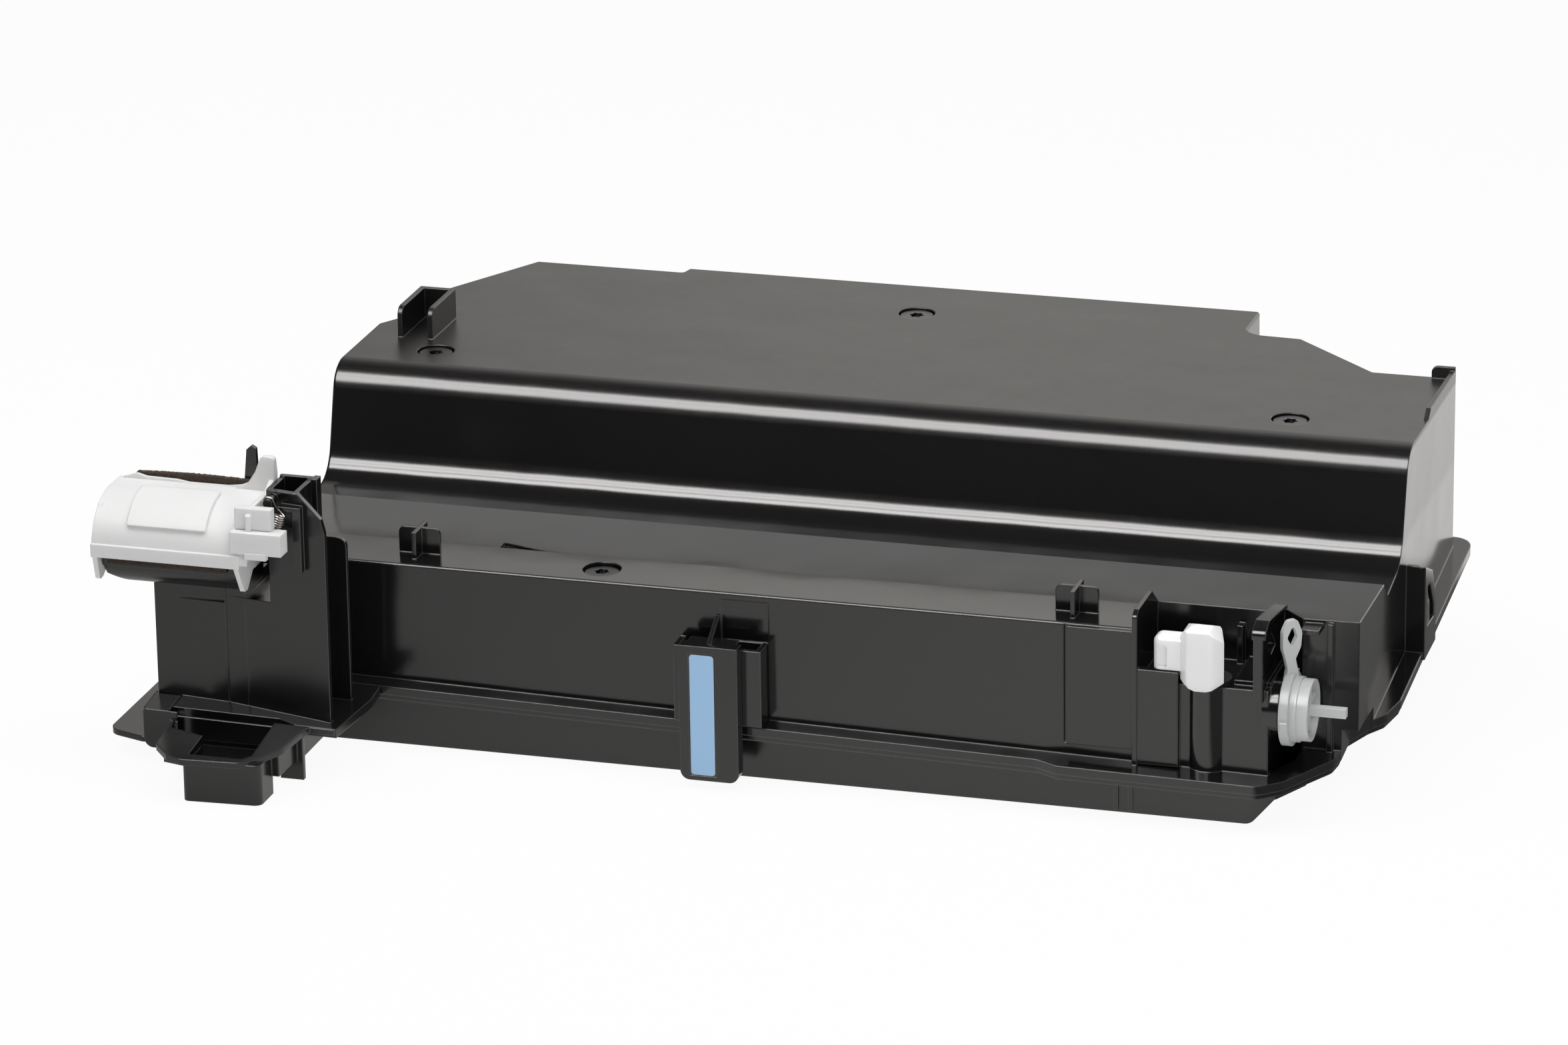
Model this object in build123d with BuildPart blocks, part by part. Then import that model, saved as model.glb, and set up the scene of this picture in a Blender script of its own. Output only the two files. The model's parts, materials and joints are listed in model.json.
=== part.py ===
from build123d import *
import math
import os

# Waste toner box: a deep cover on a shallow tray, with a sprung inlet shutter on a tower at the left.
# The origin is on the base plane, under the middle of the tray's floor and of the body's depth.
# Sections are drawn from a datum at the front right bottom corner of the tray's floor.

RIGHT = 146.0  # datum to the right of the origin
FRONT = -105.0  # datum in front of the origin

WALL = 2.2  # cover wall
TRAY_WALL = 2.0  # tray wall
FLANGE = 2.8  # cover flange
TRAY_FLANGE = 1.8  # tray flange
GAP = 0.3  # clearance between curved faces
PRESS = 0.05  # clearance of the coupling on its shaft
DEEP = 400  # longer than the part in any direction
SEAM_HEIGHT = 16.1  # flange top over the datum
SEAM_NORMAL = (0.0194, -0.124, 1)  # the flange climbs to the back and to the left
CROWN = 91.5  # flat top of the cover
SHELF = 59.3  # front edge of the shelf

HINGE_Y = -26.5  # shutter pin behind the datum
HINGE_Z = 69.8  # shutter pin height
PIN_R = 2.0  # shutter pin radius
DRUM_OUT = 16.8  # outer radius of the shutter's drum
DRUM_IN = 15.6  # inner radius of the shutter's drum

PLUG_Y = 8.5  # drain plug axis behind the datum
PLUG_Z = 35.1  # drain plug axis height

SHAFT_Y = 51.0  # stirrer axis behind the datum
SHAFT_Z = SEAM_HEIGHT + 19.9  # stirrer axis height
SHAFT_R = 3.5  # stirrer shaft radius
BUSH_R = 5.7  # outer radius of the stirrer bushings

SCREWS = [(-13.2, 109.3, CROWN), (-154.0, 184.5, CROWN), (-293.0, 109.5, CROWN), (-206.1, 10.3, SHELF)]
SCREW_RECESS = 3.0  # depth of the pocket round a screw head
POCKET_R = 6.0  # radius of that pocket
HEAD_R = 5.25  # screw head radius
THREAD_R = 1.6  # screw thread radius
EDGE = 1.0  # rounding of the cover's outer edges

os.makedirs("parts", exist_ok=True)


def plan(z):
    """Plan sketch plane at height z."""
    return Plane(origin=(RIGHT, FRONT, z), x_dir=(1, 0, 0), z_dir=(0, 0, 1))


def front(y):
    """Front view sketch plane at y; it faces forward."""
    return Plane(origin=(RIGHT, FRONT + y, 0), x_dir=(1, 0, 0), z_dir=(0, -1, 0))


def side(x):
    """Side view sketch plane at x; it faces right."""
    return Plane(origin=(RIGHT + x, FRONT, 0), x_dir=(0, 1, 0), z_dir=(1, 0, 0))


def seam(drop):
    """Plane along the flange, drop below its top face."""
    top = Plane(origin=(RIGHT, FRONT, SEAM_HEIGHT), x_dir=(1, 0, -SEAM_NORMAL[0]), z_dir=SEAM_NORMAL)
    return top.offset(-drop)


def prism(plane, points, length, mode=Mode.ADD, grow=0.0, rounds=()):
    """Extrudes a polygon in the builder in use; rounds lists (corner number, radius)."""
    with BuildSketch(plane) as shape:
        Polygon(*points, align=None)
        if grow:
            offset(amount=grow, kind=Kind.INTERSECTION)
        for number, radius in rounds:
            corner = Vector(*points[number])
            near = shape.vertices().sort_by(lambda v: (Vector(v.X, v.Y) - corner).length)[0]
            fillet(near, radius)
    extrude(shape.sketch, amount=length, mode=mode)


def block(x, y, z, mode=Mode.ADD):
    """Box in the builder in use, from its limits along each axis."""
    centre = (RIGHT + (x[0] + x[1]) / 2, FRONT + (y[0] + y[1]) / 2, (z[0] + z[1]) / 2)
    with Locations(centre):
        Box(x[1] - x[0], y[1] - y[0], z[1] - z[0], mode=mode)


def rod(plane, u, v, radius, length, mode=Mode.ADD):
    """Round bar in the builder in use, raised from a point of a sketch plane."""
    with BuildSketch(plane) as shape:
        with Locations((u, v)):
            Circle(radius)
    extrude(shape.sketch, amount=length, mode=mode)


def slab(points, top, bottom, grow=0.0, holes=(), rounds=()):
    """Plate between two depths under the flange top, with upright edges."""
    span = [(-400, -120), (100, -120), (100, 300), (-400, 300)]
    with BuildPart() as plate:
        prism(plan(-5), points, 80, grow=grow, rounds=rounds)
        for hole, change in holes:
            prism(plan(-5), hole, 80, mode=Mode.SUBTRACT, grow=change)
        prism(seam(bottom), span, bottom - top, mode=Mode.INTERSECT)
    return plate.part


def save(builder, label):
    """Writes one piece."""
    builder.part.label = label
    export_step(builder.part, "parts/" + label + ".step")


# outlines in plan
BACK = [(28.5, 161.4), (1.9, 161.4), (-27.4, 189), (-46.6, 190), (-46.6, 213.5), (-240, 213.5), (-241, 208.9),
        (-291.3, 208.9), (-313.5, 168.7), (-313.5, 144)]
BODY = [(-320.5, 0), (-36, 0), (-36, 24), (2, 24), (4, 27), (11.2, 19.8), (28.5, 20.5)] + BACK + [(-320.5, 132.5)]
BODY_ROUNDS = [(10, 7.0)]
TRAY = [(-318.7, 0), (9.5, 0), (24, 22), (24, 161.4)] + BACK[1:] + [(-318.7, 135.4)]
LOOP = [(-311.3, 0), (7.5, 0), (14, 10), (24, 118), (24, 161.4)] + BACK[1:] + [(-318.7, 135.4), (-318.7, 69)]
RIM = [(-326.5, -5.5), (-178.2, -5.5), (-65, -5.5), (-58, -8.2), (3.6, -7.4), (10.6, -2.4), (22.4, 14.4),
       (23.4, 20), (23.4, 32), (27.6, 40.6), (31.6, 46), (34, 56), (34, 167.4), (4.4, 167.4), (-24.9, 195),
       (-40.6, 196), (-40.6, 219.5), (-246, 219.5), (-246, 214.9), (-294.8, 214.9), (-319.5, 170.3), (-319.5, 146),
       (-326.5, 134.2)]
RIM_ROUNDS = [(0, 3.0), (2, 2.0), (4, 5.0), (6, 5.0), (10, 4.0), (12, 6.0), (13, 4.0), (16, 4.0), (17, 3.0), (20, 4.0),
              (22, 4.0)]
TRAY_RIM_ROUNDS = [(number, max(radius - 0.8, 1.0)) for number, radius in RIM_ROUNDS]

# section along the depth
PROFILE = [(0, -5), (0, SHELF), (20.5, 59.8), (55, 59.8), (60.5, 54.5), (80.3, 57.9), (89.3, CROWN), (230, CROWN),
           (230, -5)]
PROFILE_ROUNDS = [(1, 0.8), (3, 1.0), (4, 1.5), (5, 12.0), (6, 10.0)]
INNER_ROUNDS = [(5, 12.0 + WALL), (6, 10.0 - WALL)]

# upper cover: one moulding of even wall, with its flange round the bottom
chamber = [(-36, 0), (5.3, 0), (5.3, 26), (-36, 26)]
CHAMBER_TOP = 43.0
PRISM_X = -13.75  # stem of the sensor prism
PRISM_Y = 5.25
STEM_R = 4.0
UNDERCUT = [(23.4, 10), (23.4, 32), (27.6, 40.6), (34, 48), (60, 48), (60, 10)]  # the right front corner overhangs
UNDERCUT_TOP = 25.0
with BuildPart() as hollow:
    prism(plan(-5), BODY, 110, grow=-WALL)
    prism(side(-330), PROFILE, DEEP, mode=Mode.INTERSECT, grow=-WALL, rounds=INNER_ROUNDS)
    block((-36 + WALL, 5.3 - WALL), (WALL, 32), (5, CHAMBER_TOP - WALL))
    prism(plan(-5), UNDERCUT, UNDERCUT_TOP + 5 + WALL, mode=Mode.SUBTRACT, grow=WALL)
cover_plate = slab(RIM, 0, FLANGE, holes=[(LOOP, -3.2)], rounds=RIM_ROUNDS)

with BuildPart() as upper_cover:
    prism(plan(0), BODY, 100, rounds=BODY_ROUNDS)
    prism(side(-330), PROFILE, DEEP, mode=Mode.INTERSECT, rounds=PROFILE_ROUNDS)
    behind = upper_cover.edges().filter_by(lambda edge: edge.center().Y > FRONT + 100)
    crown_edges = behind.filter_by(lambda edge: abs(edge.center().Z - CROWN) < 0.1 and edge.center().X < RIGHT + 28)
    crown_edges = crown_edges.filter_by(lambda edge: edge.center().Y > FRONT + 110)
    fillet(crown_edges + behind.filter_by(Axis.Z), EDGE)
    # sensor chamber in the front recess
    prism(plan(5), chamber, CHAMBER_TOP - 5)
    rod(plan(5), PRISM_X, PRISM_Y, 7.25, CHAMBER_TOP - 5)
    block((-6, 5.3), (3.5, 24), (40, CHAMBER_TOP + 1.5))
    prism(plan(-5), UNDERCUT, UNDERCUT_TOP + 5, mode=Mode.SUBTRACT)
    add(hollow.part, mode=Mode.SUBTRACT)
    rod(plan(30), PRISM_X, PRISM_Y, STEM_R + 2 * GAP, 20, mode=Mode.SUBTRACT)
    split(bisect_by=seam(FLANGE), keep=Keep.TOP)
    add(cover_plate)
    # screw pockets
    for x, y, top in SCREWS:
        rod(plan(top - SCREW_RECESS - WALL), x, y, POCKET_R + 2.0, SCREW_RECESS + WALL - 0.6)
        rod(plan(top - SCREW_RECESS), x, y, POCKET_R, 10, mode=Mode.SUBTRACT)
        rod(plan(top - 20), x, y, THREAD_R + 0.6, 30, mode=Mode.SUBTRACT)
    # hook channel
    channel = [(120, CROWN - 1.5), (143.5, CROWN - 1.5), (143.5, CROWN + 10), (120, CROWN + 10)]
    for x in (-309.5, -299.3):
        prism(side(x), channel, 1.6, rounds=[(3, 3.0)])
    block((-309.5, -297.7), (142, 143.5), (CROWN - 1.5, CROWN + 10))
    # crossed ribs on the shelf
    for x, y in ((-265.05, 10.2), (-55.9, 9.3)):
        fin = [(x - 6.65, SHELF - 1), (x + 6.65, SHELF - 1), (x + 6.65, SHELF + 8.7), (x - 6.65, SHELF + 8.7)]
        prism(front(y + 1.2), fin, 1.2, rounds=[(2, 2.0), (3, 2.0)])
        block((x - 0.7, x + 0.7), (y - 5.4, y + 5.8), (SHELF - 1, SHELF + 8.7))
    # sliver slot in the shelf
    prism(plan(SHELF - 0.7), [(-242.6, 20.4), (-223.9, 20.4), (-236, 23.2), (-242.6, 25.2)], 3, mode=Mode.SUBTRACT)
    # rim and ear at the right rear
    prism(side(27), [(116, CROWN - 2), (160, CROWN - 2), (160, CROWN + 2.8), (122, CROWN + 2.8)], 1.5)
    ear = [(21, CROWN - 2), (28.5, CROWN - 2), (28.5, CROWN + 4), (21, CROWN + 4)]
    prism(front(160.6), ear, 1.2, rounds=[(3, 2.0)])
    # proud panel and groove at the right end of the front wall
    block((-56.4, -36), (-1.5, 0.5), (21, 58.8))
    block((-57.6, -56.4), (-1, 0.9), (21, 58.8), mode=Mode.SUBTRACT)
    block((-165, -150), (-1, 0.7), (19, 57), mode=Mode.SUBTRACT)
    # cheek, low wall and steps round the sensor
    cheek = [(-2.5, 16), (-2.5, 64), (0, 65.5), (16.8, 65.5), (24.8, 59.6), (24.8, 20)]
    prism(side(-36), cheek, 1.5, rounds=[(1, 1.5)])
    block((-34.8, -21.9), (-2, 0.5), (17, 47.2))
    block((-9.2, -7.4), (21, 24.5), (CHAMBER_TOP - 0.5, 55.2))
    # guard plate beside the drain plug
    guard = [(-2.5, 40), (-2.5, 62.6), (3.2, 64.6), (27, 61), (27, 40)]
    prism(side(1.1), guard, 2.9, rounds=[(1, 2.5), (2, 2.0)])
    prism(side(0.6), [(-2.5, 60), (-2.5, 62.6), (3.2, 64.6), (27, 61), (27, 59.4), (3.2, 63)], 4.2,
          rounds=[(1, 2.5), (2, 2.0)])
    prism(side(0), [(3.4, 56.2), (9.0, 58.4), (15.0, 52.8), (9.2, 51.4)], 8, mode=Mode.SUBTRACT)
    # drain port boss
    rod(side(3.1), PLUG_Y, PLUG_Z, 9.0, 5.1)
    rod(side(0), PLUG_Y, PLUG_Z, 6.0, 12, mode=Mode.SUBTRACT)
    # relief on the right front wall
    block((12, 17.5), (13.5, 21), (57, 58.6))
    block((19, 20.8), (18.5, 21), (16, 59))
    # side bracket on the right flange
    prism(front(89), [(27, 24), (34.7, 24), (34.7, 54.5), (27, 54.5)], 1.4, rounds=[(2, 3.0)])
    prism(side(33.3), [(87.6, 24), (104, 25), (104, 38), (98, 50), (87.6, 54.5)], 1.4)
    prism(side(32), [(91, 34), (101, 34), (101, 38), (95, 47), (91, 47)], 4, mode=Mode.SUBTRACT)
    # socket of the grip handle
    block((-178, -150.3), (-8, 0.5), (19.5, 44))
    block((-176.4, -151.9), (-6.4, 0), (21, 50), mode=Mode.SUBTRACT)
    # openings for the stirrer's left bushing
    rod(side(-325), SHAFT_Y, SHAFT_Z, BUSH_R + GAP, 10, mode=Mode.SUBTRACT)
    # inner ring that holds the right bushing
    rod(side(22.3), SHAFT_Y, SHAFT_Z, 8.0, 5)
    rod(side(21.3), SHAFT_Y, SHAFT_Z, BUSH_R + GAP, 5, mode=Mode.SUBTRACT)
save(upper_cover, "upper_cover")

# lower tray
ENDS = [(-294.7, 0), (0, 0), (24, 27.9), (24, 70), (-318.7, 70), (-318.7, 27.9)]
END_ROUND = 4.0  # rounding where the floor turns up at each end
basin_rim = [(-340.4, -24), (-340.4, -36), (-331.8, -36), (-328.4, -56.5), (-323, -62.2), (-317.7, -64.2),
             (-299.5, -62.6), (-294.6, -58), (-289.5, -50.6), (-287.3, -39), (-286, -36.1), (-277.2, -36.1),
             (-272.8, -14.6), (-272.8, -5.9), (-331.8, -5.9), (-331.8, -24)]
basin_rounds = [(1, 0.8), (3, 2.0), (5, 4.0), (6, 3.0), (8, 4.0), (11, 2.0)]
basin = [(-329.6, -33.4), (-327.5, -45.5), (-316.2, -48.5), (-316.2, -60.6), (-299.4, -60.0), (-297, -57.2),
         (-297.6, -33.4)]
basin_base = [(-331.6, -35), (-329.6, -47.5), (-318, -50.5), (-291, -50.5), (-290, -35)]
wing = [(-355.2, -27.4), (-343, -31.6), (-331, -31.6), (-331, -5), (-302, -5), (-302, 30), (-347, 30), (-355.2, 22)]
WELL = (-331.8, -294.9)  # box under the tower, left and right
tray_plate = slab(RIM, FLANGE, FLANGE + TRAY_FLANGE, grow=-0.8, holes=[(LOOP, -3.2)], rounds=TRAY_RIM_ROUNDS)
collar = slab(LOOP, FLANGE, FLANGE + 4, grow=0.8, holes=[(LOOP, -3.2)])
groove = slab(LOOP, FLANGE, FLANGE + 2, grow=-0.2, holes=[(LOOP, -2.2)])
basin_plate = slab(basin_rim, 0, 2.0, rounds=basin_rounds)
ledge = slab([(-331.9, -35.8), (-272, -35.8), (-272, -5.8), (-331.9, -5.8), (-331.9, -15.8), (-340, -15.8),
              (-340, -25.3), (-331.9, -25.3)], -12, FLANGE)
SEAL = 1.2  # thickness of the foam under the tower
seal_ring = [(-331.4, -32.6), (-295.3, -32.6), (-295.3, -6.4), (-331.4, -6.4)]
seal_hole = [(-329.8, -31), (-296.9, -31), (-296.9, -7.8), (-329.8, -7.8)]
tower_foam = slab(seal_ring, FLANGE, FLANGE + SEAL, holes=[(seal_hole, 0)])

with BuildPart() as tray_inside:
    prism(plan(-5), TRAY, 80, grow=-TRAY_WALL)
    prism(front(230), ENDS, DEEP, mode=Mode.INTERSECT, grow=-TRAY_WALL,
          rounds=[(0, END_ROUND - TRAY_WALL), (1, END_ROUND - TRAY_WALL)])
    # well under the tower
    block((WELL[0] + TRAY_WALL, WELL[1] - TRAY_WALL), (-31, -5.9 - TRAY_WALL), (2, 40))
    block((-310, WELL[1] - TRAY_WALL), (-9, 12), (2, 17))
with BuildPart() as lower_tray:
    prism(plan(0), TRAY, 60)
    prism(front(230), ENDS, DEEP, mode=Mode.INTERSECT, rounds=[(0, END_ROUND), (1, END_ROUND)])
    block(WELL, (-33, -5.9), (0, 40))
    block((-312, WELL[1]), (-8, 14), (0, 17))
    split(bisect_by=seam(FLANGE), keep=Keep.BOTTOM)
    add(tray_plate)
    add(collar)
    add(basin_plate)
    prism(plan(5.4), wing, 1.8, rounds=[(0, 5.0), (7, 6.0)])
    # drip basin in front of the tower
    prism(plan(6), basin_base, 9)
    basin_foot = [(-318.2, -62.2), (-293.4, -60.8), (-293.4, -49.6), (-318.2, -49.6)]
    prism(plan(0), basin_foot, 13, rounds=[(0, 2.0), (1, 2.5)])
    prism(front(-24), [(-340.4, 5.6), (-331, 5.6), (-331, 17.5), (-340.4, 17.5)], 12, rounds=[(0, 3.0)])
    block((-295.7, -288.2), (-36.8, -35), (0, 14))
    prism(side(-341), [(-36.05, 5), (-57, 12.6), (-57, 30), (-36.05, 30)], 12.4, mode=Mode.SUBTRACT)
    add(ledge, mode=Mode.SUBTRACT)
    add(tower_foam, mode=Mode.SUBTRACT)
    add(tray_inside.part, mode=Mode.SUBTRACT)
    prism(plan(7.6), basin, 30, mode=Mode.SUBTRACT)
    pit = [(-316.2, -60.2), (-295.4, -59), (-295.4, -51.6), (-316.2, -51.6)]
    prism(plan(2), pit, 8, mode=Mode.SUBTRACT, rounds=[(0, 1.0), (1, 1.0)])
    add(groove, mode=Mode.SUBTRACT)
    # twin ribs under the flange
    for x in (-42, -37.5):
        block((x, x + 1.5), (-1.2, 0.5), (1, 11))
    # pillars for the cover screws
    for x, y, top in SCREWS:
        seat = top - SCREW_RECESS - WALL
        rod(plan(1), x, y, 4.5, seat - 1)
        rod(plan(seat - 16), x, y, THREAD_R + GAP, 20, mode=Mode.SUBTRACT)
save(lower_tray, "lower_tray")

with BuildPart() as seam_gasket:
    add(slab(LOOP, FLANGE, FLANGE + 2, grow=-0.3, holes=[(LOOP, -2.1)]))
save(seam_gasket, "seam_gasket")

# inlet tower: duct, half-round hopper and the plates at its right
face = [(-339.5, -24.5), (-315.5, -26), (-289.5, -30.4)]
foot = [(-331.6, -32.8), (-297, -32.8), (-291, -35.6), (-277.6, -35.6), (-273.6, -15), (-273.6, -6.2),
        (-331.6, -6.2)]
tower_foot = slab(foot, 0, FLANGE)
with BuildPart() as inlet_tower:
    prism(plan(12), face + [(-289.5, -6.2), (-331.6, -6.2), (-331.6, -16), (-339.5, -16)], 42)
    prism(plan(50), [(-339.5, -24.5), (-315.5, -26), (-309, -27), (-309, -6.2), (-339.5, -6.2)], 8)
    # hopper
    hopper_back = [(-26.5, 57.3), (-15, 57.3), (-15, 86), (-16.8, 86), (-16.8, 82.3), (-26.5, 82.3)]
    prism(side(-350.3), hopper_back, 43.3)
    rod(side(-350.3), HINGE_Y, HINGE_Z, 12.5, 43.3)
    block((-350.3, -307), (-39.6, -36), (65.6, 69.8))
    prism(side(-348.5), [(-37.2, 90), (-37.2, 67), (-33, 60.5), (-26.5, 59.3), (-16.8, 59.3), (-16.8, 90)], 39.7,
          mode=Mode.SUBTRACT, rounds=[(1, 3.0), (2, 4.0)])
    prism(front(0), [(-352, 50), (-343, 50), (-343, 57.2), (-350.3, 62), (-352, 62)], 50, mode=Mode.SUBTRACT)
    # duct from the hopper to the foot
    block((-329.6, -311), (-24, -16.8), (5, 62), mode=Mode.SUBTRACT)
    block((-329.6, -311), (-24, -8.2), (5, 48), mode=Mode.SUBTRACT)
    block((-309, -297), (-27, -8.2), (5, 52), mode=Mode.SUBTRACT)
    block((-298, -291.5), (-27, -8.2), (24, 52), mode=Mode.SUBTRACT)
    block((-337, -316), (-30, -25), (51.5, 55.5), mode=Mode.SUBTRACT)
    block((-315.8, -315.3), (-27, -25.7), (5, 56), mode=Mode.SUBTRACT)
    split(bisect_by=seam(FLANGE), keep=Keep.TOP)
    # plates at the right of the hopper
    prism(plan(15), [(-300, -28.6), (-280.5, -32), (-280.5, -30), (-300, -26.6)], 80)
    prism(front(0), [(-350, 0), (-280.5, 0), (-280.5, 78.8), (-281.7, 83.2), (-289.3, 90.3), (-350, 90.3)], 40,
          mode=Mode.INTERSECT)
    split(bisect_by=seam(FLANGE), keep=Keep.TOP)
    add(tower_foot)
    block((-300, -298.5), (-28, -15), (52, 90.5))
    block((-291, -289.5), (-30, -15), (52, 90.5))
    block((-300, -289.5), (-16.5, -15), (52, 91))
    prism(front(-15), [(-290, 18), (-279.3, 18), (-279.3, 72.4), (-290, 72.4)], 1.5, rounds=[(2, 3.0)])
    block((-295, -287.7), (-33, -29.5), (85.3, 86.8))
    block((-290.2, -287.7), (-33.2, -30), (66, 86.8))
    block((-289.8, -286.1), (-20.7, -19.3), (18, 80))
    block((-287.9, -286.1), (-21.9, -18.1), (60, 92.5))
    prism(front(-13), [(-313, 80), (-307.5, 80), (-308.3, 98.2), (-309.8, 99), (-311.3, 97.6)], 1.6)
    block((-313, -307), (-15.2, -13), (78, 84))
    # pins of the shutter and boss of the spring
    rod(side(-353), HINGE_Y, HINGE_Z, PIN_R, 3)
    rod(side(-307.2), HINGE_Y, HINGE_Z, PIN_R, 3.6)
    rod(front(-28), -297.5, 88, 1.5, 6.5)
save(inlet_tower, "inlet_tower")

with BuildPart() as tower_seal:
    add(tower_foam)
save(tower_seal, "tower_seal")

# foam on the two lips of the mouth
with BuildPart() as port_seal_rear:
    block((-347, -307.6), (-16.8, -14.6), (86, 88.4))
save(port_seal_rear, "port_seal_rear")
with BuildPart() as port_seal_front:
    block((-348.2, -309.2), (-41.0, -39.6), (66.4, 69.8))
save(port_seal_front, "port_seal_front")


def drum(x, length, inner, outer, start, end, mode=Mode.ADD):
    """Ring sector about the hinge in the builder in use; angles run from the back over the top."""
    steps = [start + (end - start) * i / 6 for i in range(7)]
    fan = [(HINGE_Y, HINGE_Z)]
    fan += [(HINGE_Y + 40 * math.cos(math.radians(a)), HINGE_Z + 40 * math.sin(math.radians(a))) for a in steps]
    with BuildSketch(side(x)) as shape:
        with Locations((HINGE_Y, HINGE_Z)):
            Circle(outer)
            Circle(inner, mode=Mode.SUBTRACT)
        Polygon(*fan, align=None, mode=Mode.INTERSECT)
    extrude(shape.sketch, amount=length, mode=mode)


# shutter: a quarter drum with end plates, a push arm and the spring's anchor
with BuildPart() as port_shutter:
    drum(-352, 50.4, DRUM_IN, DRUM_OUT, 90, 178)
    block((-352, -301.6), (-26.5, -17), (HINGE_Z + DRUM_IN, HINGE_Z + DRUM_OUT))
    # raised panel on the drum, with soft corners
    with BuildPart() as panel:
        drum(-341, 25.5, DRUM_OUT - 0.4, DRUM_OUT + 1.0, 88, 146)
        fillet(panel.edges().filter_by(GeomType.LINE).filter_by(lambda edge: abs(edge.tangent_at(0).X) < 0.5), 0.6)
    add(panel.part)
    block((-352, -304), (-43.9, -42.0), (69.4, 73.5))
    # stepped back edge
    back_edge = [(-350.5, 85.0), (-303, 85.0), (-303, 87.4), (-312, 87.2), (-318, 86.4), (-326, 86.1), (-333, 87.2),
                 (-343, 87.4), (-346, 88.2), (-350.5, 86.8)]
    prism(front(-17), back_edge, 1.4)
    # left end plate
    left_plate = [(-43.2, 71), (-40.6, 61), (-37.6, 61.6), (-33.4, 64.4), (-22, 64.4), (-22, 72), (-17, 85.4),
                  (-26.5, 86.4), (-36, 84), (-42, 76)]
    prism(side(-352), left_plate, 1.5, rounds=[(1, 1.0), (2, 1.0)])
    rod(side(-352), HINGE_Y, HINGE_Z, 5.5, 1.5)
    # right end plate with its leg
    right_plate = [(-43.2, 71), (-36.6, 59.6), (-33.8, 59.6), (-29, 64.4), (-22, 64.4), (-22, 72), (-17, 85.4),
                   (-26.5, 86.4), (-36, 84), (-42, 76)]
    prism(side(-306.6), right_plate, 1.5, rounds=[(1, 1.0), (2, 1.0)])
    rod(side(-306.6), HINGE_Y, HINGE_Z, 5.5, 1.5)
    # push arm with its web
    arm = [(-314, 86.4), (-309.5, 88.4), (-306.8, 92.5), (-304.9, 97.4), (-300.8, 97.4), (-300.4, 92), (-300.6, 86),
           (-300.6, 78), (-302.2, 78), (-302.2, 85.5)]
    prism(front(-17.2), arm, 2.4, rounds=[(3, 1.2), (4, 1.2)])
    web = [(-19.4, 86), (-19.4, 91), (-25, 88), (-37.6, 88), (-41.8, 86), (-41.8, 75), (-37.2, 75), (-31, 79),
           (-20, 81)]
    prism(side(-302.2), web, 1.6, rounds=[(1, 0.8)])
    # stepped anchor block
    block((-306, -294.4), (-40.6, -37.2), (81.4, 88))
    block((-305, -295.6), (-39.6, -36.9), (82.4, 86.8), mode=Mode.SUBTRACT)
    block((-305, -295.6), (-39.6, -38.6), (82, 87))
    block((-306.8, -290.4), (-43.6, -37.6), (74.4, 81.2))
    block((-305.4, -291.8), (-42.2, -37), (75.8, 80), mode=Mode.SUBTRACT)
    block((-302, -295), (-44.2, -42.2), (73, 75))
    rod(front(-36.8), -299.4, 78, 1.1, 6)
    # pin holes
    rod(side(-353), HINGE_Y, HINGE_Z, PIN_R + GAP, 4, mode=Mode.SUBTRACT)
    rod(side(-307.5), HINGE_Y, HINGE_Z, PIN_R + GAP, 4, mode=Mode.SUBTRACT)
save(port_shutter, "port_shutter")

# shutter spring: close coil between the tower's boss and the shutter's anchor
WIRE = 0.28
COIL_R = 2.0
coil_top = Vector(RIGHT - 295.4, FRONT - 34.6, 84.6)
coil_end = Vector(RIGHT - 294.6, FRONT - 35.2, 78.2)
coil_axis = coil_end - coil_top
TURNS = 8
coil_path = Helix(pitch=coil_axis.length / TURNS, height=coil_axis.length, radius=COIL_R, center=coil_top,
                  direction=coil_axis)
with BuildPart() as shutter_spring:
    with BuildSketch(Plane(origin=coil_path @ 0, z_dir=coil_path % 0)):
        RegularPolygon(WIRE, 6)
    sweep(path=coil_path)
    hook = Vector(RIGHT - 294.6, FRONT - 33.6, 89.2)
    for start, end in ((coil_path @ 0, hook), (hook, Vector(RIGHT - 299.2, FRONT - 33.4, 90.4)),
                       (coil_path @ 1, Vector(RIGHT - 299.6, FRONT - 36.0, 76.4))):
        leg = end - start
        with BuildSketch(Plane(origin=start - leg.normalized() * 0.2, z_dir=leg)):
            RegularPolygon(WIRE, 6)
        extrude(amount=leg.length + 0.2)
save(shutter_spring, "shutter_spring")

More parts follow.
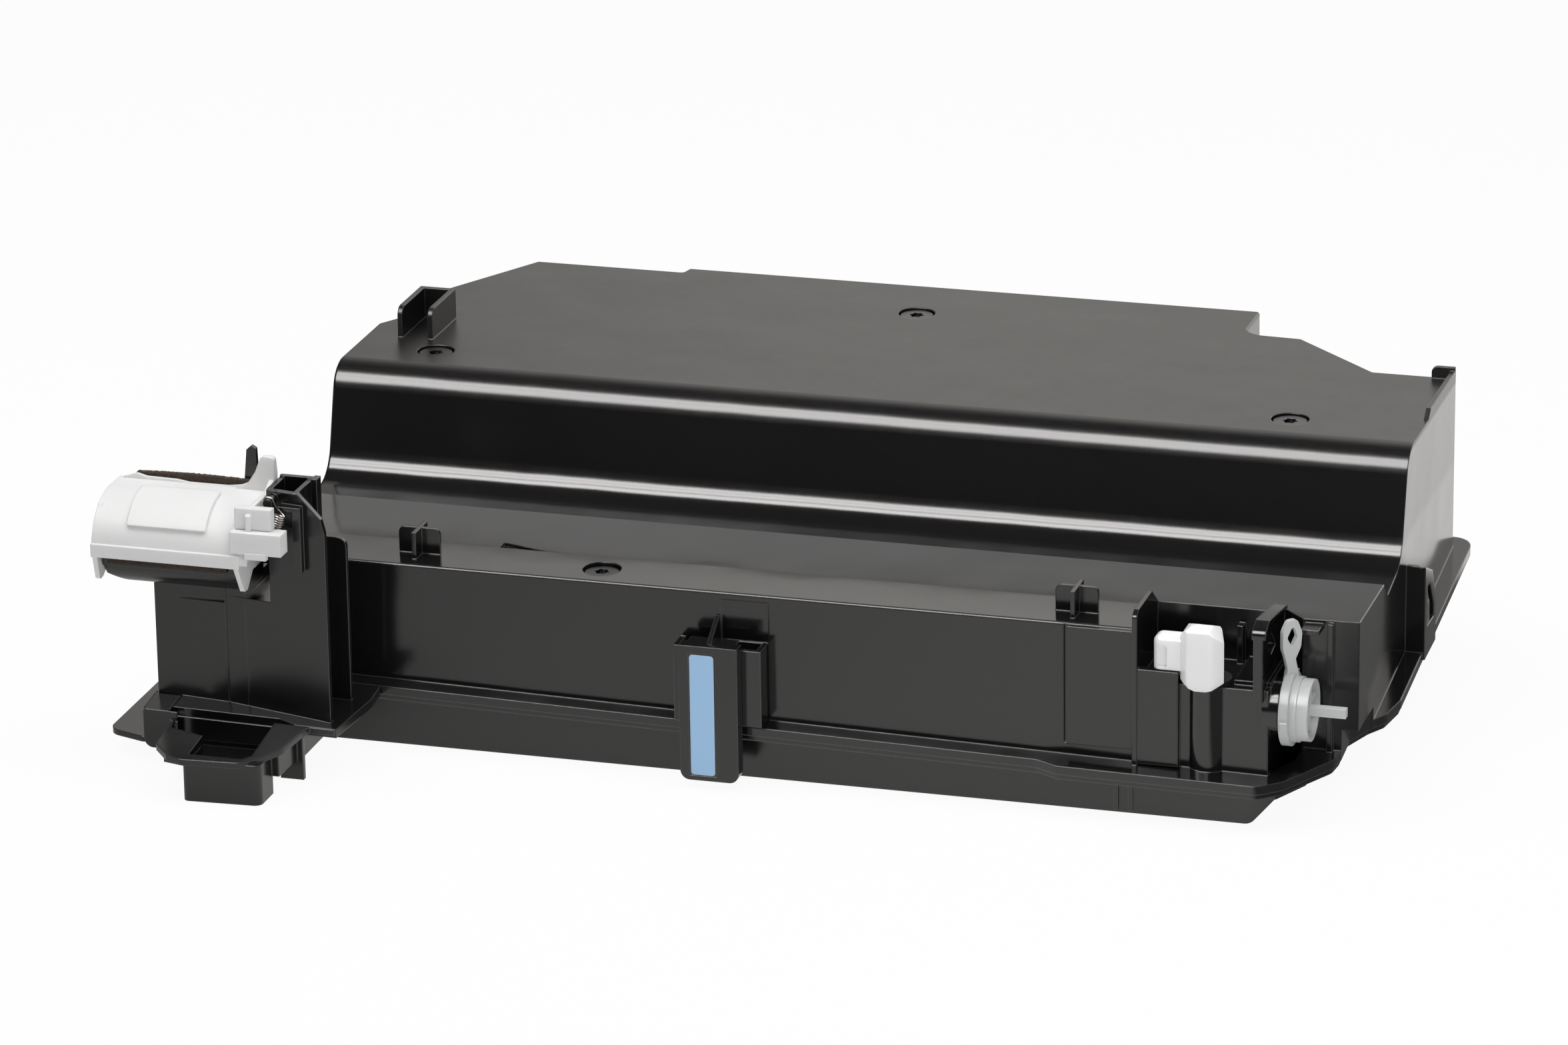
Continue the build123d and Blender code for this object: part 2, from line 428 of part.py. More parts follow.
# sensor prism on the chamber, with its seal
SEAT = CHAMBER_TOP + 1.2  # underside of the prism, on its seal
with BuildPart() as sensor_prism:
    body = [(-21.5, -1), (-19, -4.2), (-11, -4.2), (-8, -1.5), (-10.4, 6), (-19, 8), (-21.5, 5)]
    prism(plan(SEAT), body, 20, rounds=[(1, 1.5), (2, 2.0), (4, 2.0)])
    prism(plan(42.6), [(-20.4, -2.5), (-18.4, -4.2), (-11.4, -4.2), (-9.2, -2.5)], 3)
    crest = [(-22, 45.4), (-22, 58), (-20.2, 60.8), (-18.6, 61.8), (-16.5, 62.4), (-12.3, 61.2), (-8, 57.8),
             (-8, 45), (-11, 43.2), (-13.7, 42.4), (-16, 42.4), (-18.4, 43.4)]
    prism(front(10), crest, 20, mode=Mode.INTERSECT)
    prism(side(-40), [(-6, 40), (-6, 60.4), (0.5, 62.4), (9, 59), (9, 40)], 40, mode=Mode.INTERSECT)
    # light pipe at its left
    prism(front(3), [(-24.9, 47.6), (-21.3, 45.2), (-21.3, 52), (-24.9, 52)], 2.3)
    with BuildPart() as pipe:
        prism(plan(47.6), [(-30, -1.5), (-21.2, -1.5), (-21.2, 6), (-30, 6)], 10.4, rounds=[(0, 2.5), (3, 2.5)])
        fillet(pipe.faces().sort_by(Axis.Z)[-1].edges().filter_by(Axis.X), 2.0)
    add(pipe.part)
    window = [(-29.0, 48.4), (-25.6, 48.4), (-25.6, 55.2), (-29.0, 55.2)]
    prism(front(-0.2), window, 3, mode=Mode.SUBTRACT, rounds=[(0, 0.8), (1, 0.8), (2, 1.2), (3, 1.2)])
    rod(plan(36), PRISM_X, PRISM_Y, STEM_R, SEAT - 35)
save(sensor_prism, "sensor_prism")
with BuildPart() as prism_seal:
    rod(plan(CHAMBER_TOP), PRISM_X, PRISM_Y, 6.6, SEAT - CHAMBER_TOP)
    rod(plan(40), PRISM_X, PRISM_Y, STEM_R + GAP, 10, mode=Mode.SUBTRACT)
save(prism_seal, "prism_seal")

# drain plug: cup, disc, strap and loop in one moulding
with BuildPart() as drain_plug:
    rod(side(8.8), PLUG_Y, PLUG_Z, 11.3, 2.8)
    rod(side(11.4), PLUG_Y, PLUG_Z, 10.0, 2.4)
    rod(side(13.6), PLUG_Y, PLUG_Z, 9.5, 3.6)
    rod(side(12.8), PLUG_Y, PLUG_Z, 8.4, 6, mode=Mode.SUBTRACT)
    block((11, 27.3), (PLUG_Y - 1.4, PLUG_Y + 1.4), (PLUG_Z - 1.4, PLUG_Z + 1.4))
    for turn in range(4):
        with Locations((RIGHT + 14.4, FRONT + PLUG_Y, PLUG_Z)):
            Box(3.4, 16.9, 1.0, rotation=(45 * turn + 20, 0, 0))
    rod(side(1.5), PLUG_Y, PLUG_Z, 5.4, 7.6)
    rod(side(0.5), PLUG_Y, PLUG_Z, 4.2, 7.6, mode=Mode.SUBTRACT)
    # curved strap that ends in a pull loop, turned half to the front
    strap = [(-2.4, 44.4), (-1.6, 48), (-2.4, 51.5), (-3.4, 54.5), (-3.4, 60), (-1.6, 63.4), (1.6, 63.4), (3.4, 59),
             (3.0, 54.5), (1.2, 51), (1.8, 48), (2.6, 44.4)]
    turned = Plane(origin=(RIGHT + 10.2, FRONT + PLUG_Y, 0), x_dir=(1, 1, 0), z_dir=(1, -1, 0)).offset(-0.8)
    prism(turned, strap, 1.6, rounds=[(1, 2.0), (3, 3.0), (4, 3.0), (5, 1.5), (6, 1.5), (7, 3.0), (8, 3.0), (10, 2.0)])
    eye = [(-1.9, 58), (-0.2, 54.6), (1.7, 58), (0.2, 61.8)]
    prism(turned.offset(-5), eye, 12, mode=Mode.SUBTRACT, rounds=[(0, 1.0), (1, 0.6), (2, 1.0), (3, 0.6)])
    for turn in (70, 190, 310):
        with Locations((RIGHT + 10.5, FRONT + PLUG_Y + 11.4 * math.cos(math.radians(turn)),
                        PLUG_Z + 11.4 * math.sin(math.radians(turn)))):
            Box(2.2, 3.0, 1.6, rotation=(turn + 90, 0, 0))
save(drain_plug, "drain_plug")
with BuildPart() as plug_seal_ring:
    rod(side(8.2), PLUG_Y, PLUG_Z, 8.6, 0.6)
    rod(side(7.2), PLUG_Y, PLUG_Z, 5.4 + GAP, 3, mode=Mode.SUBTRACT)
save(plug_seal_ring, "plug_seal_ring")

# grip handle: channel bar hooked over its socket
LABEL = 0.25  # thickness of the touch label
with BuildPart() as grip_handle:
    bar = [(-174.8, 2.5), (-156.3, 2.5), (-156.3, 46), (-174.8, 46)]
    prism(front(-8.2), bar, 4.8, rounds=[(0, 3.0), (1, 3.0)])
    block((-173.2, -157.9), (-11.4, -5), (-1, 47), mode=Mode.SUBTRACT)
    block((-171.4 - 0.3, -163.7 + 0.3), (-14, -13 + LABEL), (4.0, 43.5), mode=Mode.SUBTRACT)
    block((-173.2, -157.9), (-12, -4.6), (44.3, 46))
    block((-172, -159), (-6.1, -4.6), (30, 45))
    prism(side(-166.7), [(-10, 44.5), (-10, 46), (-0.4, 52), (-0.4, 44.5)], 1.4)
save(grip_handle, "grip_handle")
with BuildPart() as touch_label:
    prism(front(-13 + LABEL), [(-171.4, 4.3), (-163.7, 4.3), (-163.7, 43.2), (-171.4, 43.2)], LABEL,
          rounds=[(0, 1.0), (1, 1.0), (2, 1.0), (3, 1.0)])
save(touch_label, "touch_label")

# cover screws: flat head with a six-lobed socket
with BuildPart() as cover_screws:
    for x, y, top in SCREWS:
        rod(plan(top - SCREW_RECESS), x, y, HEAD_R, 2.4)
        rod(plan(top - SCREW_RECESS - 14), x, y, THREAD_R, 14.2)
        rod(plan(top - SCREW_RECESS + 1.0), x, y, 1.9, 3, mode=Mode.SUBTRACT)
        for turn in range(6):
            u = x + 1.9 * math.cos(math.radians(60 * turn))
            v = y + 1.9 * math.sin(math.radians(60 * turn))
            rod(plan(top - SCREW_RECESS + 1.0), u, v, 0.5, 3, mode=Mode.SUBTRACT)
save(cover_screws, "cover_screws")

# stirrer: shaft with slanted paddles, turning in two bushings
with BuildPart() as stirrer_shaft:
    rod(side(-332), SHAFT_Y, SHAFT_Z, SHAFT_R, 358)
    for number in range(10):
        x = -292 + 30 * number
        with Locations(Location((RIGHT + x, FRONT + SHAFT_Y, SHAFT_Z), (90 * number, 0, 0))):
            with Locations(Location((0, 0, 9.6), (0, 0, 25))):
                Box(2.0, 14.0, 15.4)
    rod(side(-298), SHAFT_Y, SHAFT_Z, 6.0, 3)
    rod(side(17), SHAFT_Y, SHAFT_Z, 6.0, 3)
save(stirrer_shaft, "stirrer_shaft")
with BuildPart() as bushing_left:
    rod(side(-322), SHAFT_Y, SHAFT_Z, BUSH_R, 5.5)
    rod(side(-318.3), SHAFT_Y, SHAFT_Z, 7.0, 1.8)
    rod(side(-323), SHAFT_Y, SHAFT_Z, SHAFT_R + GAP, 10, mode=Mode.SUBTRACT)
save(bushing_left, "bushing_left")
with BuildPart() as bushing_right:
    rod(side(21.5), SHAFT_Y, SHAFT_Z, BUSH_R, 4.8)
    rod(side(20.3), SHAFT_Y, SHAFT_Z, 7.6, 2.0)
    rod(side(19), SHAFT_Y, SHAFT_Z, SHAFT_R + GAP, 10, mode=Mode.SUBTRACT)
save(bushing_right, "bushing_right")
with BuildPart() as shaft_lip_seal:
    rod(side(-316.5), SHAFT_Y, SHAFT_Z, 7.0, 2.4)
    rod(side(-317), SHAFT_Y, SHAFT_Z, SHAFT_R + GAP, 5, mode=Mode.SUBTRACT)
save(shaft_lip_seal, "shaft_lip_seal")
with BuildPart() as drive_coupling:
    rod(side(-333), SHAFT_Y, SHAFT_Z, 6.8, 9)
    rod(side(-332), SHAFT_Y, SHAFT_Z, SHAFT_R + PRESS, 12, mode=Mode.SUBTRACT)
    for turn in range(3):
        with Locations(Location((RIGHT - 335.5, FRONT + SHAFT_Y, SHAFT_Z), (120 * turn, 0, 0))):
            with Locations((0, 0, 5.0)):
                Box(5.0, 2.4, 4.0)
save(drive_coupling, "drive_coupling")
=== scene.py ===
"""Dresses the toner collection unit: moulded black plastics, milky white parts, foam, wire and stage."""
import json
import logging
import math
from dataclasses import dataclass, field
from enum import Enum
from typing import Optional, Sequence, Union

import bpy
from mathutils import Matrix, Vector

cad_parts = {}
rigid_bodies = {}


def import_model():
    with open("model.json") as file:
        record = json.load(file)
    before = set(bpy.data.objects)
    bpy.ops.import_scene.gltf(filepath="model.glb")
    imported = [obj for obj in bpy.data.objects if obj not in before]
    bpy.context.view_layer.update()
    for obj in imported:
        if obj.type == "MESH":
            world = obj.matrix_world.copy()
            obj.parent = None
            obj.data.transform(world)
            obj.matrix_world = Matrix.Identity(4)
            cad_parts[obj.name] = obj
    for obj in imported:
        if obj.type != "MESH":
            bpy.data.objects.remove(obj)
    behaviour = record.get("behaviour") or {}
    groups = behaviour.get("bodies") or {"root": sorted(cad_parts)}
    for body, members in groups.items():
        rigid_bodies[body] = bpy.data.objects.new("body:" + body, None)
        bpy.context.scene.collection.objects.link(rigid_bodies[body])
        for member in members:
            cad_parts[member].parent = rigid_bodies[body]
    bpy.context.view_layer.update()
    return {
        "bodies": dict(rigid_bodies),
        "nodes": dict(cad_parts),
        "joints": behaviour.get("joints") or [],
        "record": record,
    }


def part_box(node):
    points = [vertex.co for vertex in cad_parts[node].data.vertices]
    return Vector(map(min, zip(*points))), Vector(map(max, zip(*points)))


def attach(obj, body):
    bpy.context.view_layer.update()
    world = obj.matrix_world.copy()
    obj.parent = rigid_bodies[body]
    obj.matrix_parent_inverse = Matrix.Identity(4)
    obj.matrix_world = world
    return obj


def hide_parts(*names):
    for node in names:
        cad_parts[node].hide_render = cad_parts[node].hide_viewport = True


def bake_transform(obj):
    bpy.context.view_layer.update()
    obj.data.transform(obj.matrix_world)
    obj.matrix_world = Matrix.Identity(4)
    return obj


LOG = logging.getLogger("toner_unit")
MM = 0.001
WHITE = (1.0, 1.0, 1.0)
Number = Union[int, float]


class Shade:
    """One shader socket that can be used in arithmetic."""

    def __init__(self, bench: "Bench", socket: bpy.types.NodeSocket) -> None:
        """Keeps the socket and the bench that it belongs to.

        Args:
            bench: the bench whose node tree holds the socket.
            socket: an output socket.
        """
        self.bench = bench
        self.socket = socket

    def maths(self, operation: str, first: "Operand", second: "Operand") -> "Shade":
        """Adds one Math node.

        Args:
            operation: the Math node's operation.
            first: first operand.
            second: second operand.

        Returns:
            The node's value.
        """
        return self.bench.node("ShaderNodeMath", {"operation": operation}, {0: first, 1: second})

    def __add__(self, other: "Operand") -> "Shade":
        """Sum."""
        return self.maths("ADD", self, other)

    def __radd__(self, other: "Operand") -> "Shade":
        """Sum with a number on the left."""
        return self.maths("ADD", other, self)

    def __sub__(self, other: "Operand") -> "Shade":
        """Difference."""
        return self.maths("SUBTRACT", self, other)

    def __rsub__(self, other: "Operand") -> "Shade":
        """Difference with a number on the left."""
        return self.maths("SUBTRACT", other, self)

    def __mul__(self, other: "Operand") -> "Shade":
        """Product."""
        return self.maths("MULTIPLY", self, other)

    def __rmul__(self, other: "Operand") -> "Shade":
        """Product with a number on the left."""
        return self.maths("MULTIPLY", other, self)


Operand = Union[Number, Shade]
Feed = Union[Number, Sequence[float], Shade]
Owner = Union[bpy.types.Material, bpy.types.World]


class Bench:
    """Node tree of one material or of the world."""

    def __init__(self, owner: Owner) -> None:
        """Empties the owner's node tree.

        Args:
            owner: the material or the world.
        """
        self.owner = owner
        owner.use_nodes = True
        self.tree = owner.node_tree
        self.tree.nodes.clear()

    def node(self, kind: str, settings: dict, feeds: dict, output: Union[int, str] = 0) -> Shade:
        """Adds any node.

        Args:
            kind: the node's type.
            settings: attributes that are set first.
            feeds: socket index or name to a value or a link.
            output: index or name of the wanted output.

        Returns:
            The wanted output.
        """
        made = self.tree.nodes.new(kind)
        for key, value in settings.items():
            setattr(made, key, value)
        for key, value in feeds.items():
            self.feed(made.inputs[key], value)
        return Shade(self, made.outputs[output])

    def feed(self, socket: bpy.types.NodeSocket, value: Feed) -> None:
        """Sets or links one input.

        Args:
            socket: the input.
            value: a number, a list or an output to link.
        """
        if isinstance(value, Shade):
            self.tree.links.new(value.socket, socket)
        else:
            socket.default_value = value

    def place(self) -> Shade:
        """Object coordinates."""
        return self.node("ShaderNodeTexCoord", {}, {}, "Object")

    def axis(self, name: str) -> Shade:
        """One of the Object coordinates, by its letter."""
        return self.node("ShaderNodeSeparateXYZ", {}, {0: self.place()}, name)

    def ray(self, kind: str) -> Shade:
        """1 for one kind of ray, by the name of its output."""
        return self.node("ShaderNodeLightPath", {}, {}, kind)

    def noise(self, scale: float, detail: float = 2.0, roughness: float = 0.5) -> Shade:
        """Noise over Object coordinates.

        Args:
            scale: waves to the metre.
            detail: octaves.
            roughness: weight of the finer octaves.

        Returns:
            The noise value.
        """
        feeds = {"Vector": self.place(), "Scale": scale, "Detail": detail, "Roughness": roughness}
        return self.node("ShaderNodeTexNoise", {}, feeds)

    def fade(self, value: Shade, start: float, end: float, low: float, high: float) -> Shade:
        """Smooth step from one level to another.

        Args:
            value: the value that is followed.
            start: where the step starts.
            end: where it ends.
            low: level before it.
            high: level after it.

        Returns:
            The level.
        """
        feeds = {0: value, 1: start, 2: end, 3: low, 4: high}
        return self.node("ShaderNodeMapRange", {"interpolation_type": "SMOOTHSTEP"}, feeds)

    def blend(self, factor: Operand, first: Union[Sequence[float], Shade], second: Sequence[float]) -> Shade:
        """Mixes two colours.

        Args:
            factor: share of the second colour.
            first: colour at 0.
            second: colour at 1.

        Returns:
            The mixed colour.
        """
        first = first if isinstance(first, Shade) else rgba(first)
        return self.node("ShaderNodeMix", {"data_type": "RGBA"}, {0: factor, 6: first, 7: rgba(second)}, 2)

    def mix(self, factor: Operand, first: Shade, second: Shade) -> Shade:
        """Mixes two shaders.

        Args:
            factor: share of the second shader.
            first: shader at 0.
            second: shader at 1.

        Returns:
            The mixed shader.
        """
        return self.node("ShaderNodeMixShader", {}, {0: factor, 1: first, 2: second})

    def bump(self, height: Operand, strength: float, distance: float, under: Optional[Shade] = None) -> Shade:
        """Turns a height into a normal.

        Args:
            height: the height.
            strength: share of the effect.
            distance: height of 1, in metres.
            under: normal that the bump is laid over.

        Returns:
            The normal.
        """
        feeds = {"Height": height, "Strength": strength, "Distance": distance}
        if under is not None:
            feeds["Normal"] = under
        return self.node("ShaderNodeBump", {}, feeds, "Normal")

    def close(self, surface: Shade) -> Owner:
        """Links the surface to the output.

        Args:
            surface: the shader.

        Returns:
            The finished material or world.
        """
        world = isinstance(self.owner, bpy.types.World)
        out = self.tree.nodes.new("ShaderNodeOutputWorld" if world else "ShaderNodeOutputMaterial")
        self.feed(out.inputs["Surface"], surface)
        return self.owner


def rgba(colour: Sequence[float]) -> tuple:
    """Colour with full cover."""
    return (*colour, 1.0)


class Grain(Enum):
    """Texture of a moulded face: waves to the metre, strength, and height in metres."""

    POLISHED = (900.0, 0.10, 0.00001)
    SATIN = (2600.0, 0.25, 0.00002)
    MILKY = (700.0, 0.12, 0.00002)
    FOAM = (1500.0, 1.0, 0.0007)


@dataclass(frozen=True)
class Moulding:
    """Finish of a moulded plastic."""

    name: str
    colour: tuple
    tint: tuple
    roughness: float
    spread: float
    grain: Grain
    edge: float = 0.0
    wave: float = 0.0
    subsurface: float = 0.0
    transmission: float = 0.0
    coat: float = 0.0
    ior: float = 1.5
    # grey that the edges are lightened to: a painted highlight
    painted_highlight: float = 0.0
    heights: tuple = ()
    cloud_scale: float = 18.0
    fine_scale: float = 260.0
    wave_scale: float = 36.0
    bevel_samples: int = 6
    # match of the rounded and the face's normal where the painted edge highlight is full, and where it ends
    highlight_match: float = 0.72
    face_match: float = 0.97
    milk_depth: float = 2.5 * MM

    def level(self, bench: Bench) -> Operand:
        """Roughness by height, where the mould's faces differ.

        Args:
            bench: the material's bench.

        Returns:
            The roughness before its fine variation.
        """
        level: Operand = self.roughness
        if self.heights:
            height = bench.axis("Z")
            for start, end, change in self.heights:
                level = bench.fade(height, start, end, 0.0, change) + level
        return level

    def paint_highlight(self, bench: Bench, colour: Shade, rounded: Shade) -> Shade:
        """Paints a highlight on the edges: lightens the colour where the rounded normal leaves the face's own.

        Args:
            bench: the material's bench.
            colour: colour of the faces.
            rounded: normal of the rounded edges.

        Returns:
            The colour with its edges.
        """
        own = bench.node("ShaderNodeNewGeometry", {}, {}, "Normal")
        match = bench.node("ShaderNodeVectorMath", {"operation": "DOT_PRODUCT"}, {0: rounded, 1: own}, "Value")
        share = bench.fade(match, self.highlight_match, self.face_match, 1.0, 0.0)
        return bench.blend(share, colour, (self.painted_highlight, self.painted_highlight, self.painted_highlight))

    def material(self) -> bpy.types.Material:
        """Builds the node material.

        Returns:
            The material.
        """
        bench = Bench(bpy.data.materials.new(self.name))
        colour = bench.blend(bench.noise(self.cloud_scale, 3.0), self.colour, self.tint)
        roughness = self.level(bench) + (bench.noise(self.fine_scale, 4.0, 0.6) - 0.5) * self.spread
        under = None
        if self.edge:
            settings = {"samples": self.bevel_samples}
            under = bench.node("ShaderNodeBevel", settings, {"Radius": self.edge}, "Normal")
        # painted highlight: the edges are lightened in the base colour, standing in for light caught by rounded
        # edges
        if self.painted_highlight:
            colour = self.paint_highlight(bench, colour, under)
        if self.wave:
            under = bench.bump(bench.noise(self.wave_scale, 1.0), 1.0, self.wave, under)
        scale, strength, distance = self.grain.value
        feeds = {
            "Base Color": colour,
            "Roughness": roughness,
            "Normal": bench.bump(bench.noise(scale), strength, distance, under),
            "IOR": self.ior,
            "Coat Weight": self.coat,
            "Transmission Weight": self.transmission,
            "Subsurface Weight": self.subsurface,
        }
        if self.subsurface:
            feeds["Subsurface Radius"] = WHITE
            feeds["Subsurface Scale"] = self.milk_depth
        return bench.close(bench.node("ShaderNodeBsdfPrincipled", {}, feeds, "BSDF"))


@dataclass(frozen=True)
class Steel:
    """Finish of a metal piece."""

    name: str
    colour: tuple
    roughness: float
    streak_scale: float = 700.0
    streak_shade: float = 0.75
    streak_spread: float = 0.12
    streak_height: float = 0.02 * MM
    streak_strength: float = 0.15

    def material(self) -> bpy.types.Material:
        """Builds the node material.

        Returns:
            The material.
        """
        bench = Bench(bpy.data.materials.new(self.name))
        streak = bench.noise(self.streak_scale, 3.0)
        dark = tuple(self.streak_shade * part for part in self.colour)
        feeds = {
            "Base Color": bench.blend(streak, dark, self.colour),
            "Metallic": 1.0,
            "Roughness": self.roughness + (streak - 0.5) * self.streak_spread,
            "Normal": bench.bump(streak, self.streak_strength, self.streak_height),
        }
        return bench.close(bench.node("ShaderNodeBsdfPrincipled", {}, feeds, "BSDF"))


@dataclass
class Finishes:
    """Every finish of the unit, by material slot."""

    black: tuple = (0.0075, 0.0073, 0.0076)
    black_tint: tuple = (0.010, 0.0095, 0.0095)
    black_ior: float = 1.58
    # grey of the painted edge highlight on the black mouldings
    black_painted_highlight: float = 0.09
    edge: float = 0.7 * MM
    shelf_to_rise: tuple = (61.0 * MM, 66.0 * MM, 0.09)
    rise_to_top: tuple = (89.5 * MM, 91.0 * MM, 0.14)
    made: dict = field(default_factory=dict)

    def blacks(self) -> list:
        """Lists the black mouldings.

        Returns:
            Finishes of the cover, the tray and the tower.
        """
        # the blacks share one painted edge highlight
        shared = {"ior": self.black_ior, "painted_highlight": self.black_painted_highlight}
        black = (self.black, self.black_tint)
        return [
            Moulding("cover_black", *black, roughness=0.13, spread=0.05, grain=Grain.SATIN, edge=self.edge,
                     wave=0.38 * MM, heights=(self.shelf_to_rise, self.rise_to_top), **shared),
            Moulding("tray_black", *black, roughness=0.20, spread=0.06, grain=Grain.SATIN, edge=self.edge,
                     wave=0.25 * MM, **shared),
            Moulding("tower_black", *black, roughness=0.22, spread=0.06, grain=Grain.SATIN, edge=0.5 * MM,
                     wave=0.05 * MM, **shared),
        ]

    def whites(self) -> list:
        """Lists the milky and the clear mouldings.

        Returns:
            Finishes of the shutter, the prism and the plug.
        """
        return [
            Moulding("shutter_white", (0.85, 0.85, 0.845), (0.80, 0.805, 0.80), roughness=0.52, spread=0.08,
                     grain=Grain.MILKY, edge=0.5 * MM, subsurface=0.35),
            Moulding("prism_white", (0.96, 0.96, 0.95), (0.92, 0.93, 0.93), roughness=0.16, spread=0.05,
                     grain=Grain.POLISHED, edge=0.4 * MM, subsurface=0.4, coat=0.3),
            Moulding("plug_white", (0.82, 0.83, 0.82), (0.76, 0.78, 0.78), roughness=0.30, spread=0.06,
                     grain=Grain.MILKY, edge=0.35 * MM, subsurface=0.25, transmission=0.35, ior=1.45),
        ]

    def others(self) -> list:
        """Lists foam, rubber, label, inner plastics and steel.

        Returns:
            The remaining finishes.
        """
        return [
            Moulding("port_foam", (0.070, 0.048, 0.036), (0.035, 0.026, 0.021), roughness=0.9, spread=0.1,
                     grain=Grain.FOAM),
            Moulding("gasket_foam", (0.05, 0.045, 0.04), (0.03, 0.028, 0.026), roughness=0.9, spread=0.1,
                     grain=Grain.FOAM),
            Moulding("seal_rubber", (0.02, 0.02, 0.02), (0.03, 0.03, 0.03), roughness=0.55, spread=0.1,
                     grain=Grain.SATIN),
            # the label's edges carry a painted highlight
            Moulding("label_blue", (0.37, 0.61, 0.90), (0.40, 0.64, 0.93), roughness=0.34, spread=0.06,
                     grain=Grain.POLISHED, edge=0.5 * MM, painted_highlight=0.7),
            Moulding("shaft_grey", (0.12, 0.12, 0.125), (0.09, 0.09, 0.095), roughness=0.45, spread=0.1,
                     grain=Grain.SATIN),
            Moulding("bushing_plastic", (0.75, 0.75, 0.70), (0.68, 0.68, 0.64), roughness=0.4, spread=0.1,
                     grain=Grain.SATIN),
            Moulding("coupling_plastic", (0.72, 0.72, 0.67), (0.66, 0.66, 0.62), roughness=0.4, spread=0.1,
                     grain=Grain.SATIN, edge=0.3 * MM),
            Steel("spring_steel", (0.80, 0.76, 0.71), roughness=0.22),
            Steel("screw_steel", (0.13, 0.13, 0.14), roughness=0.38),
        ]

    def build(self) -> dict:
        """Makes one material for each slot of the record.

        Returns:
            Slot name to material.
        """
        for finish in self.blacks() + self.whites() + self.others():
            self.made[finish.name] = finish.material()
            LOG.info("finish %s", finish.name)
        return self.made


@dataclass
class Housing:
    """The solids that come with the frame, dressed by slot."""

    frame: dict
    finishes: dict

    def dress(self) -> None:
        """Gives every node the material of its slot."""
        slots = {entry["node"]: entry["material_slot"] for entry in self.frame["record"]["subparts"]}
        for name, body in self.frame["nodes"].items():
            body.data.materials.clear()
            body.data.materials.append(self.finishes[slots[name]])
            LOG.info("node %s in %s", name, slots[name])


@dataclass
class Coil:
    """Tension coil of round wire between the tower's boss and the shutter's anchor post."""

    finishes: dict
    wire: float = 0.27 * MM
    radius: float = 2.35 * MM
    turns: int = 8
    turn_points: int = 14
    top: tuple = (-0.1482, -0.1387, 0.0845)
    foot: tuple = (-0.1499, -0.1399, 0.0789)
    boss: tuple = (-0.1515, -0.1385, 0.0880)
    boss_hook: float = 1.85 * MM
    boss_sweep: tuple = (230, -20, -30)
    post: tuple = (-0.1534, -0.1430, 0.0780)
    post_hook: float = 1.45 * MM
    post_sweep: tuple = (60, -200, -30)
    spline_order: int = 4
    spline_steps: int = 3
    ring_steps: int = 3
    smooth_angle: float = math.radians(40)

    def hook(self, centre: tuple, radius: float, sweep: tuple) -> list:
        """Arc of an end hook, seen from the front.

        Args:
            centre: the axis of the pin, at the hook.
            radius: radius of the wire's centre line.
            sweep: first angle, last angle and step in degrees, from the right over the top.

        Returns:
            Points along the arc.
        """
        angles = [math.radians(angle) for angle in range(*sweep)]
        return [Vector(centre) + radius * Vector((math.cos(a), 0.0, math.sin(a))) for a in angles]

    def line(self) -> list:
        """Centre line of the wire.

        Returns:
            Points from the boss's hook through the coil to the post's hook.
        """
        top = Vector(self.top)
        axis = Vector(self.foot) - top
        across = axis.cross(Vector((0.0, 1.0, 0.0))).normalized()
        other = axis.normalized().cross(across)
        points = self.hook(self.boss, self.boss_hook, self.boss_sweep)
        count = self.turns * self.turn_points
        for index in range(count + 1):
            angle = math.tau * index / self.turn_points
            ring = math.cos(angle) * across + math.sin(angle) * other
            points.append(top + axis * (index / count) + self.radius * ring)
        return points + self.hook(self.post, self.post_hook, self.post_sweep)

    def build(self) -> bpy.types.Object:
        """Sweeps the wire along its line.

        Returns:
            The coil, in place of the plain one.
        """
        bpy.ops.object.select_all(action="DESELECT")
        bpy.ops.curve.primitive_nurbs_path_add()
        coil = bpy.context.object
        coil.name = "spring_wire"
        points = self.line()
        spline = coil.data.splines[0]
        spline.points.add(len(points) - len(spline.points))
        for point, place in zip(spline.points, points):
            point.co = (*place, 1.0)
            point.radius = 1.0
        spline.order_u = self.spline_order
        spline.use_endpoint_u = True
        coil.data.resolution_u = self.spline_steps
        coil.data.bevel_depth = self.wire
        coil.data.bevel_resolution = self.ring_steps
        coil.data.use_fill_caps = True
        bpy.ops.object.convert(target="MESH")
        coil = bpy.context.object
        bpy.ops.object.shade_smooth_by_angle(angle=self.smooth_angle)
        coil.data.materials.clear()
        coil.data.materials.append(self.finishes["spring_steel"])
        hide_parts("shutter_spring")
        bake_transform(coil)
        LOG.info("coil of %d turns", self.turns)
        return coil


